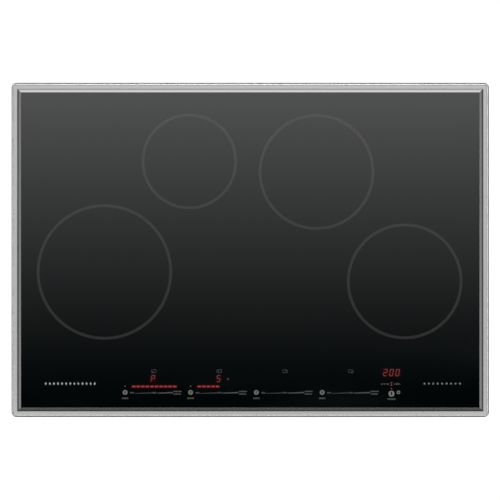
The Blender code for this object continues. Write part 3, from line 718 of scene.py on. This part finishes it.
def add_digit(bm, centre, shown):
    """Slanted seven-segment figure; shown lists its lit segments, a to g."""
    tall, wide, stroke, slant, gap = 11.2, 6.0, 1.05, 0.16, 0.12
    half_w, half_h, t = wide / 2 - stroke / 2, tall / 2 - stroke / 2, stroke / 2
    across = {"a": half_h, "g": 0.0, "d": -half_h}
    upright = {"f": (-1, 0, 1), "b": (1, 0, 1), "e": (-1, -1, 0), "c": (1, -1, 0)}
    for name in shown:
        if name in across:
            y, left, right = across[name], -half_w + gap, half_w - gap
            outline = [(left, y), (left + t, y + t), (right - t, y + t)]
            outline += [(right, y), (right - t, y - t), (left + t, y - t)]
        else:
            side, low, high = upright[name]
            x, low, high = side * half_w, low * half_h + gap, high * half_h - gap
            outline = [(x, low), (x + t, low + t), (x + t, high - t)]
            outline += [(x, high), (x - t, high - t), (x - t, low + t)]
        add_print(bm, [(centre[0] + x + slant * y, centre[1] + y) for x, y in outline])


def add_glow(name, centre, half, colour, fade):
    """A patch of spilled light round lit windows, which fades to nothing at its edge."""
    finish = spill(f"{name}_light", colour, centre, half, fade)
    printed(name, lambda bm: add_print(bm, rounded_rectangle(centre, *half, fade * 0.6, 6), 0.5), finish)


def displays():
    """Lit windows: bar graphs, power digits, timer digits and small lamps."""
    first_bar, bar_pitch, bar_half = 13.9, 7.24, 2.85
    levels = ((KEYS_X[0] + 44.4, "abefg"), (KEYS_X[1] + 44.6, "afgcd"))
    timer = ((TIMER_X - 9.8, "abged"), (TIMER_X, "abcdef"), (TIMER_X + 9.8, "abcdef"))

    def bars(bm):
        for x, count in zip(KEYS_X, LIT_SEGMENTS.values()):
            for i in range(count):
                middle = (x + first_bar + bar_pitch * i, BAR_Y)
                add_print(bm, rounded_rectangle(middle, bar_half, 1.15, 0.8, 4))

    def digits(bm):
        for x, shown in levels:
            add_digit(bm, (x, LEVEL_Y), shown)
        for x, shown in timer:
            add_digit(bm, (x, TIMER_Y), shown)
        wide, tall = 1.8, 2.7
        for y in (SIGN_Y - tall, SIGN_Y + tall):
            add_print(bm, [(TIMER_X - wide, y), (TIMER_X + wide, y), (TIMER_X, SIGN_Y)])

    def lamps(bm):
        for centre in ((KEYS_X[0], BAR_Y + 0.5), (KEYS_X[1], BAR_Y + 0.5), (TIMER_X, DOT_Y)):
            add_print(bm, circle(centre, 0.8, 20))

    def signs(bm):
        minus, plus = (TIMER_X - 10.3, SIGN_Y), (TIMER_X + 8.8, SIGN_Y)
        add_print(bm, rounded_rectangle(minus, 1.7, 0.55, 0.3, 3))
        for half in ((1.8, 0.5), (0.5, 1.8)):
            add_print(bm, rounded_rectangle(plus, *half, 0.3, 3), 1 + half[1] / 10)
        for (x, y), reach in ((minus, 4.6), (plus, 3.7)):
            for side in (-1, 1):
                add_ticks(bm, (x + side * reach, y), 2.6 * reach - 8.0, 2.2)

    bar_margin, bar_rise, level_reach, timer_reach, rise = 3.0, 4.2, 7.0, 17.0, 8.6
    for x, count, name in zip(KEYS_X, LIT_SEGMENTS.values(), ("glow_bars_a", "glow_bars_b")):
        half_row = bar_pitch * (count - 1) / 2
        centre, half = (x + first_bar + half_row, BAR_Y), (half_row + bar_half + bar_margin, bar_rise)
        add_glow(name, centre, half, BAR_SPILL, 3.4)
    for name, (x, _) in zip(("glow_level_a", "glow_level_b"), levels):
        add_glow(name, (x, LEVEL_Y), (level_reach, rise), DIGIT_SPILL, 5.0)
    add_glow("glow_timer", (TIMER_X, TIMER_Y), (timer_reach, rise), DIGIT_SPILL, 5.0)
    printed("bar_graphs", bars, LIT_BAR)
    printed("lit_digits", digits, LIT_DIGIT)
    printed("key_lamps", lamps, LIT_LAMP)
    hold_lamp = circle((KEYS_X[1] + 59.8, LEVEL_Y - 0.8), 1.9, 24)
    printed("hold_lamp", lambda bm: add_print(bm, hold_lamp), LIT_DIM)
    printed("timer_signs", signs, LABEL_INK)


def end_marks():
    """Plain ornament at each end of the control strip: lozenges on the left, dots on the right."""
    row = KEY_Y + 14.0
    lozenge_row, dot_row = GLASS_LOW.x + 85.9, GLASS_HIGH.x - 66.9
    wide, tall = 1.7, 2.5

    def lozenges(bm):
        for i in range(13):
            x = lozenge_row + (i - 6) * 6.5
            add_print(bm, [(x + wide, row), (x, row + tall), (x - wide, row), (x, row - tall)])

    def dots(bm):
        for i in range(9):
            add_print(bm, circle((dot_row + (i - 4) * 7.1, row), 1.5, 24))

    printed("end_marks_left", lozenges, WHITE_INK)
    printed("end_marks_right", dots, PALE_INK)


# --- Chassis ---


def shell_loops(inset, corner, edge):
    """Outlines of the pressed tray's rounded bottom edge, and the outline of its open top."""
    low, high, steps = TRAY_LOW, TRAY_HIGH, 5
    loops = []
    half_x, half_y = (high.x - low.x) / 2 - inset, (high.y - low.y) / 2 - inset
    for i in range(steps + 1):
        angle = math.radians(90 * i / steps)
        step_in, level = edge * (1 - math.sin(angle)), edge * (1 - math.cos(angle))
        outline = rounded_rectangle((0, 0), half_x - step_in, half_y - step_in, corner - step_in * 0.5, 6)
        loops.append(along(outline, low.z + inset + level))
    return loops, rounded_rectangle((0, 0), half_x, half_y, corner, 6)


def tray():
    """Pressed tray with bent edges, vents, fan grilles, stiffening beads and clamp pockets."""
    sheet, pocket_x, pocket_y, pocket_half, pocket_top = 1.0, 318.0, 135.0, 31.0, 25.0
    bm = bmesh.new()
    loops, top = shell_loops(0.0, 3.0, 2.0)
    add_loft(bm, [*loops, along(top, TRAY_HIGH.z)])
    body = piece("tray_sheet", bm, ZINC)
    inside = bmesh.new()
    loops, top = shell_loops(sheet, 2.0, 1.2)
    add_loft(inside, [*loops, along(top, TRAY_HIGH.z + 1)])
    boolean(body, inside, "DIFFERENCE")

    blocks, hollows = bmesh.new(), bmesh.new()
    for end, side in CORNERS:
        sign, y = SIGNS[side], SIGNS[end] * pocket_y
        left, right = sorted((sign * (pocket_x - sheet), sign * (TRAY_HIGH.x - 0.4)))
        reach = pocket_half + sheet
        add_box(blocks, (left, y - reach, 0.4), (right, y + reach, pocket_top + sheet))
        left, right = sorted((sign * pocket_x, sign * (TRAY_HIGH.x + 4)))
        middle = ((left + right) / 2, y)
        outline = rounded_rectangle(middle, (right - left) / 2, pocket_half, 2.0, 5)
        add_prism(hollows, outline, -1.0, pocket_top)
    boolean(body, blocks, "UNION")
    boolean(body, hollows, "DIFFERENCE")
    boolean(body, tray_openings(), "DIFFERENCE")
    boolean(body, tray_beads(), "DIFFERENCE")
    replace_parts(body, "base_tray")


def tray_openings():
    """Fan grilles, vents, the terminal window, the cable entry and the screws' holes."""
    holes = bmesh.new()
    below, above = -1.0, 2.0
    fan_radius, fan_pitch, vent_pitch, vent_y, vent_z = 38.0, 8.5, 10.0, -182.0, 22.0
    for centre in FANS.values():
        for i in range(-4, 5):
            half = math.sqrt(fan_radius**2 - (i * fan_pitch) ** 2)
            add_prism(holes, obround((centre.x, centre.y + i * fan_pitch), 2 * half, 5.0), below, above)
    for x in (-255.0, 112.0):
        for i in range(10):
            add_prism(holes, obround((x + (i - 4.5) * vent_pitch, vent_y), 25.0, 4.0, "Y"), below, above)
    for side in (-1, 1):
        wall = sorted((side * (TRAY_HIGH.y - 2), side * (TRAY_HIGH.y + 1)))
        for middle in (-150.0, 90.0):
            for i in range(8):
                slot = obround((middle + (i - 3.5) * vent_pitch, vent_z), 20.0, 4.0, "Y")
                add_prism(holes, slot, *wall, axis="Y")
        wall = sorted((side * (TRAY_HIGH.x - 2), side * (TRAY_HIGH.x + 1)))
        for i in range(6):
            slot = obround(((i - 2.5) * vent_pitch, vent_z), 20.0, 4.0, "Y")
            add_prism(holes, slot, *wall, axis="X")
        for y in (-60.0, 60.0):
            add_prism(holes, circle((y, 42.0), 2.3, 24), *wall, axis="X")
    middle = (middle_of("terminal_box").x, 204.0)
    add_prism(holes, rounded_rectangle(middle, 50.0, 34.0, 1.5, 4), below, above)
    entry = circle(middle_of("entry_bushing").xz, 10.6, 40)
    add_prism(holes, entry, TRAY_HIGH.y - 2, TRAY_HIGH.y + 1, axis="Y")
    for end, side in CORNERS:
        add_prism(holes, circle(middle_of(f"clamp_screw_{end}_{side}").xy, 2.9, 24), 24.0, 27.0)
    return holes


def tray_beads():
    """Shallow stiffening grooves pressed into the underside."""
    beads = bmesh.new()
    depth, wide = 0.8, 9.0

    def bead(centre, long, axis):
        loops = []
        for grow, level in ((2.0, -0.5), (2.0, 0.0), (0.0, depth)):
            loops.append(along(obround(centre, long + grow, wide + grow, axis, 8), level))
        add_loft(beads, loops)

    for x in (-150.0, -100.0, -50.0, 0.0, 50.0, 200.0, 250.0):
        bead((x, -60.0), 150.0, "Y")
    for y in (70.0, 215.0):
        bead((-62.0, y), 210.0, "X")
    bead((0.0, -222.0), 560.0, "X")
    return beads


def tray_screws():
    """Pan-head screws with a cross recess, through the tray's side walls."""
    shank = [(0.01, -8), (1.6, -8), (2.0, -7.5), (2.0, 0)]
    head = [(3.8, 0), (3.8, 0.7), (3.4, 1.3), (2.4, 1.75), (0.01, 1.8)]
    for end, side in CORNERS:
        node = f"tray_screw_{end}_{side}"
        sign, centre = SIGNS[side], middle_of(node).yz
        face = sign * (TRAY_HIGH.x + 0.3)
        bm = bmesh.new()
        turned = [(r, face + sign * level) for r, level in shank + head]
        add_turned(bm, turned, 32, (0, *centre), axis="X")
        screw = piece(f"{node}_head", bm, PLATED)
        for half in ((2.2, 0.42), (0.42, 2.2)):
            slot = bmesh.new()
            span = sorted((face + sign * 0.8, face + sign * 3))
            add_prism(slot, rounded_rectangle(centre, *half, 0.15, 2), *span, axis="X")
            boolean(screw, slot, "DIFFERENCE")
        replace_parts(screw, node)


def rating_plate():
    """Blank data plate with a raised edge and four rivets."""
    low, high = millimetres("rating_plate")
    middle, half = ((low + high) / 2).xz, (high - low) / 2
    bm = bmesh.new()
    loops = []
    for inset, y in ((0, low.y), (0, high.y), (0.6, high.y), (0.9, high.y - 0.2)):
        outline = rounded_rectangle(middle, half.x - inset, half.z - inset, 2.0 - inset, 5)
        loops.append(along(outline, y, "Y"))
    add_loft(bm, loops)
    base, top = low.y + 0.1, high.y
    rivet = [(0.01, base), (1.4, base), (1.4, top - 0.1), (1.0, top), (0.01, top)]
    for sx in (-1, 1):
        for sz in (-1, 1):
            centre = (middle[0] + sx * (half.x - 4), 0, middle[1] + sz * (half.z - 4))
            add_turned(bm, rivet, 16, centre, "Y")
    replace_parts(piece("data_plate_blank", bm, ALUMINIUM), "rating_plate")


# --- Clamps ---


def clamp_screw(key):
    """Socket-head clamp screw with a rolled thread and a swaged collar."""
    node = f"clamp_screw_{key}"
    x, y = middle_of(node).xy
    top = millimetres(node)[1].z
    bm = bmesh.new()
    socket = [(0.01, 2.6), (2.3, 2.6), (2.3, 0.9), (2.6, 0.8)]
    head = [(4.3, 0.8), (4.8, 1.1), (5.0, 1.6), (5.0, 3.0), (4.7, 3.3)]
    stem = [(2.5, 3.3), (2.5, 5.9), (4.3, 5.9), (4.3, 6.9), (4.1, 7.1), (2.4, 7.1), (2.3, 8.0)]
    segments, pitch, steps, thread_r, thread_depth = 24, 0.8, 6, 2.5, 0.42
    start, end = 8.3, top - 1.2
    rings = []
    for i in range(segments):
        angle = 2 * math.pi * i / segments
        profile = socket + head + stem
        for k in range(int((end - start) / pitch * steps) + 1):
            level = start + k * pitch / steps
            phase = (level / pitch - i / segments) % 1.0
            depth = abs(phase - 0.5) * 2
            fade = min(1.0, (end - level) / 2.0 + 0.2)
            profile.append((thread_r - thread_depth * depth * fade, level))
        profile += [(1.7, top - 0.1), (0.01, top)]
        rings.append([(x + r * math.cos(angle), y + r * math.sin(angle), z) for r, z in profile])
    add_loft(bm, rings, closed=True)
    screw = piece(f"clamp_bolt_{key}", bm, PLATED, f"clamp_lift_{key}", 40)
    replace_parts(screw, node)


def clamp_arm(key, pivot, towards):
    """Folded strip with rounded bends, chamfered sides and a hole for its screw."""
    corners = [
        ((-9.0, 3.6), 0.3),
        ((30.0, 3.6), 2.4),
        ((30.0, 8.0), 0.5),
        ((40.0, 8.0), 0.3),
        ((40.0, 10.0), 0.3),
        ((28.0, 10.0), 2.2),
        ((28.0, 5.6), 0.5),
        ((-9.0, 5.6), 0.3),
    ]
    view = filleted(*zip(*corners), 4)
    outline = [Vector((pivot[1] + towards * a, z)) for a, z in view]
    middle = sum(outline, Vector((0, 0))) / len(outline)
    bm = bmesh.new()
    loops = []
    for shrink, x in ((0.988, -8.0), (1.0, -7.7), (1.0, 7.7), (0.988, 8.0)):
        loops.append(along([middle.lerp(point, shrink) for point in outline], pivot[0] + x, "X"))
    add_loft(bm, loops)
    arm = piece(f"clamp_strip_{key}", bm, ZINC, f"clamp_swing_{key}")
    holes = bmesh.new()
    add_prism(holes, circle(pivot, 2.8, 32), 2.0, 7.0)
    boolean(arm, holes, "DIFFERENCE")
    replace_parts(arm, f"clamp_arm_{key}")


def clamps():
    for end, side in CORNERS:
        key = f"{end}_{side}"
        clamp_screw(key)
        clamp_arm(key, middle_of(f"clamp_screw_{key}").xy, -SIGNS[end])


# --- Fans ---


def fan_rotor(side):
    """Blower wheel: domed hub, back plate, forward-curved blades and a front ring."""
    node = f"fan_rotor_{side}"
    x, y = middle_of(node).xy
    bm = bmesh.new()
    hub = [(0.01, 5.0), (6, 5.0), (12, 5.4), (15.5, 6.4), (17, 8.5), (17, 21), (19, 22.5)]
    plate = [(40, 22.5), (40, 24), (12.5, 24), (12.5, 7.6), (0.01, 7.0)]
    add_turned(bm, hub + plate, 48, (x, y, 0))
    add_turned(bm, [(34.5, 5.0), (39.6, 5.0), (39.6, 6.4), (34.5, 6.0)], 48, (x, y, 0))
    blades, steps, inner_r, blade_depth, sweep = 28, 5, 27.5, 11.5, 0.34
    for i in range(blades):
        start = 2 * math.pi * i / blades
        outline = []
        for thick, order in ((-0.5, range(steps + 1)), (0.5, range(steps, -1, -1))):
            for k in order:
                share = k / steps
                reach = inner_r + blade_depth * share
                angle = start + sweep * share**1.6 + thick / reach
                outline.append((x + reach * math.cos(angle), y + reach * math.sin(angle)))
        add_prism(bm, outline, 5.6, 23.0)
    wheel = piece(f"blower_wheel_{side}", bm, BLACK_PLASTIC, f"fan_wheel_{side}")
    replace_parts(wheel, node)


# --- Terminal compartment ---


def terminal_cover():
    """Lid with a rounded edge, stiffening ribs outside, a thumb notch and its hinge pins."""
    low, high = millimetres("terminal_cover")
    hinge_y, hinge_z = 176.0, 2.0
    x0, x1, y0, y1 = 208.5, 301.5, hinge_y + 0.5, high.y
    middle, half_x, half_y = ((x0 + x1) / 2, (y0 + y1) / 2), (x1 - x0) / 2, (y1 - y0) / 2
    bm = bmesh.new()
    loops = []
    for inset, level in ((0.5, low.z), (0.0, low.z + 0.5), (0.0, 2.1), (0.3, 2.4)):
        outline = rounded_rectangle(middle, half_x - inset, half_y - inset, 1.6 - inset, 5)
        loops.append(along(outline, level))
    add_loft(bm, loops)
    lid = piece("terminal_lid_panel", bm, BLACK_PLASTIC, "terminal_lid")
    barrel = bmesh.new()
    add_prism(barrel, circle((hinge_y, hinge_z), 1.55, 24), x0, x1, axis="X")
    boolean(lid, barrel, "UNION")
    pins = bmesh.new()
    for start, stop in ((x0 - 1.5, x0 + 1), (x1 - 1, x1 + 1.5)):
        add_prism(pins, circle((hinge_y, hinge_z), 1.0, 16), start, stop, axis="X")
    boolean(lid, pins, "UNION")
    grooves = bmesh.new()
    for i in range(6):
        centre = (middle[0] + (i - 2.5) * 13, middle[1] - 3)
        add_prism(grooves, obround(centre, 34.0, 4.0, "Y"), -1.0, low.z + 0.6)
    notch = (middle[0], y1 - 5.5)
    add_prism(grooves, obround(notch, 20.0, 5.0), -1.0, low.z + 1.1)
    boolean(lid, grooves, "DIFFERENCE")
    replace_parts(lid, "terminal_cover")


def terminal_screws():
    """Brass clamping screws in the terminal block."""
    low = millimetres("terminal_block")[0]
    for i in range(5):
        x, y = low.x + 5 + 10 * i, low.y + 8
        bm = bmesh.new()
        face, back = low.z + 1.2, low.z + 4.6
        head = [(0.01, face), (1.9, face), (2.2, face + 0.3), (2.2, back), (0.01, back)]
        add_turned(bm, head, 24, (x, y, 0))
        screw = piece(f"terminal_screw_{i + 1}", bm, BRASS)
        slot = bmesh.new()
        add_box(slot, (x - 3, y - 0.35, low.z), (x + 3, y + 0.35, low.z + 2.1))
        boolean(screw, slot, "DIFFERENCE")


def entry_bushing():
    """Threaded bushing with a ribbed collar; it is open, as no cable is fitted."""
    low, high = millimetres("entry_bushing")
    x, z = middle_of("entry_bushing").xz
    wall, bore, thread_r, thread_depth, pitch = TRAY_HIGH.y + 0.3, 7.5, 10.0, 0.35, 0.75
    bm = bmesh.new()
    segments = 72
    loops = []
    for i in range(segments):
        angle = 2 * math.pi * i / segments
        collar = 13.0 if i % 6 < 4 else 12.2
        profile = [(bore, high.y), (11.0, high.y), (12.0, high.y - 0.5)]
        profile += [(collar, high.y - 0.9), (collar, wall), (thread_r, wall)]
        profile += [(thread_r - thread_depth * (k % 2), wall - 1.5 - k * pitch) for k in range(13)]
        profile += [(9.6, low.y), (8.0, low.y), (bore, low.y + 0.5)]
        loops.append([(x + r * math.cos(angle), y, z + r * math.sin(angle)) for r, y in profile])
    add_loft(bm, loops, closed=True)
    bushing = piece("cable_bushing", bm, BLACK_PLASTIC, sharp=28)
    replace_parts(bushing, "entry_bushing")


# --- Stage ---


class Sky(Nodes):
    """World light by direction, built from smooth ramps."""

    def __init__(self):
        world = bpy.data.worlds.new("studio_sky")
        bpy.context.scene.world = world
        world.use_nodes = True
        super().__init__(world.node_tree)
        where = self.node("ShaderNodeTexCoord").outputs["Generated"]
        self.x, self.y, self.z = self.node("ShaderNodeSeparateXYZ", {0: where}).outputs

    def along(self, axis, stops):
        """Light by the direction's share of an axis, from -1 to 1."""
        share = self.math("MULTIPLY_ADD", axis, 0.5, 0.5)
        return self.ramp(share, [(0.5 + 0.5 * place, (level,) * 3) for place, level in stops], "EASE")


def sky():
    """A bright strip from overhead to the front, dark walls behind and beside, a pale horizon."""
    light = Sky()
    beside = ((-0.8, 0.07), (-0.4, 0.12), (-0.17, 1.0), (0.17, 1.0), (0.4, 0.12), (0.8, 0.07))
    from_back = ((-0.84, 0.42), (-0.4, 1.1), (-0.12, 1.05), (0.1, 0.8), (0.34, 0.05), (1.0, 0.02))
    overhead = ((0.0, 0.0), (0.25, 1.0))
    upwards = ((-1.0, 0.14), (-0.12, 0.22), (0.0, 1.0), (0.2, 0.8), (0.42, 0.04), (1.0, 0.02))
    strip = light.math("MULTIPLY", light.along(light.x, beside), light.along(light.y, from_back))
    strip = light.math("MULTIPLY", strip, light.along(light.z, overhead))
    level = light.math("MULTIPLY_ADD", strip, 1.25, light.along(light.z, upwards))
    light.fill(light.tree.nodes["Background"], {"Color": (1, 1, 1, 1), "Strength": level})


def floor():
    """White floor, which shows nothing of itself in mirror finishes or from below."""
    reach, gap = 12000.0, 0.5
    bm = bmesh.new()
    corners = ((-reach, -reach), (reach, -reach), (reach, reach), (-reach, reach))
    bm.faces.new([bm.verts.new((*c, CAD_LOW.z - gap)) for c in corners])
    paint = Finish("floor_paint", (0.55, 0.55, 0.55), 0.9)
    paint.set("Emission Color", (1, 1, 1, 1))
    paint.set("Emission Strength", 0.85)
    inputs = {
        0: paint.node("ShaderNodeNewGeometry").outputs["Backfacing"],
        1: paint.shader.outputs[0],
        2: paint.node("ShaderNodeBsdfTransparent").outputs[0],
    }
    paint.surface(paint.node("ShaderNodeMixShader", inputs).outputs[0])
    ground = piece("floor", bm, paint.material, body=None)
    ground.visible_glossy = ground.visible_shadow = False


def softbox():
    """Large diffuser high above, bright at its back edge and fading towards the front."""
    height, half_x, half_y = 9000.0, 1050.0, 700.0
    bm = bmesh.new()
    corners = ((-half_x, -half_y), (-half_x, half_y), (half_x, half_y), (half_x, -half_y))
    bm.faces.new([bm.verts.new((*c, height)) for c in corners])
    cloth = Finish("softbox_cloth", (0.5, 0.5, 0.5), 0.9)
    axes = cloth.node("ShaderNodeSeparateXYZ", {0: cloth.place()})
    share = cloth.math("MULTIPLY_ADD", axes.outputs["Y"], 0.5 / (half_y * MM), 0.5)
    strength = cloth.math("MULTIPLY", cloth.math("POWER", share, 2.0), 2.28)
    cloth.surface(cloth.node("ShaderNodeEmission", {"Strength": strength}).outputs[0])
    piece("softbox", bm, cloth.material, body=None)


def add_light(name, location, wide, tall, power):
    """A rectangular light that faces the origin, in metres and watts."""
    lamp = bpy.data.lights.new(name, "AREA")
    lamp.shape = "RECTANGLE"
    lamp.size, lamp.size_y = wide, tall
    lamp.energy = power
    holder = bpy.data.objects.new(name, lamp)
    holder.location = location
    holder.rotation_euler = (-holder.location).to_track_quat("-Z", "Y").to_euler()
    bpy.context.scene.collection.objects.link(holder)


def edge_lights():
    """A low ring of lights, which draws a bright line along the trim's rounded edge."""
    distance, height, tall = 3.0, 0.05, 1.0
    sides = (("back", 0, 1, 44.0), ("front", 0, -1, 12.0), ("left", -1, 0, 26.0), ("right", 1, 0, 25.0))
    for name, x, y, power in sides:
        add_light(f"light_{name}", (distance * x, distance * y, height), 1.4, tall, power)
    diagonal = distance * math.sqrt(0.5)
    for end, y, power in (("front", -1, 24.0), ("back", 1, 40.0)):
        for side, x in (("left", -1), ("right", 1)):
            corner = (diagonal * x, diagonal * y, height)
            add_light(f"light_{end}_{side}", corner, 3.0, tall, power)


def under_lights():
    """Four lights low on the diagonals, which the floor lets through to the underside."""
    across, depth, size, power = 2.1, -2.0, 2.0, 13.0
    for x in (-across, across):
        for y in (-across, across):
            add_light("light_below", (x, y, depth), size, size, power)


def studio():
    bpy.context.scene.view_settings.view_transform = "Standard"
    sky()
    floor()
    softbox()
    edge_lights()
    under_lights()


def camera():
    """Long lens straight above, so that the plan shows with almost no perspective."""
    distance, framed_width, sensor = 6.0, 0.7971, 36.0
    shift_x, shift_y = -0.0004, -0.0001
    data = bpy.data.cameras.new("camera")
    data.sensor_width = sensor
    data.lens = sensor * distance / framed_width
    data.clip_end = 100.0
    holder = bpy.data.objects.new("camera", data)
    holder.location = (shift_x, shift_y, distance + RIM_Z * MM)
    bpy.context.scene.collection.objects.link(holder)
    bpy.context.scene.camera = holder


camera()
finish_cad_nodes()
trim()
glass()
zone_rings()
slider_prints()
key_prints()
zone_icons()
displays()
end_marks()
tray()
tray_screws()
rating_plate()
clamps()
for side in FANS:
    fan_rotor(side)
terminal_cover()
terminal_screws()
entry_bushing()
for made in PIECES:
    keep_flats_flat(made)
studio()
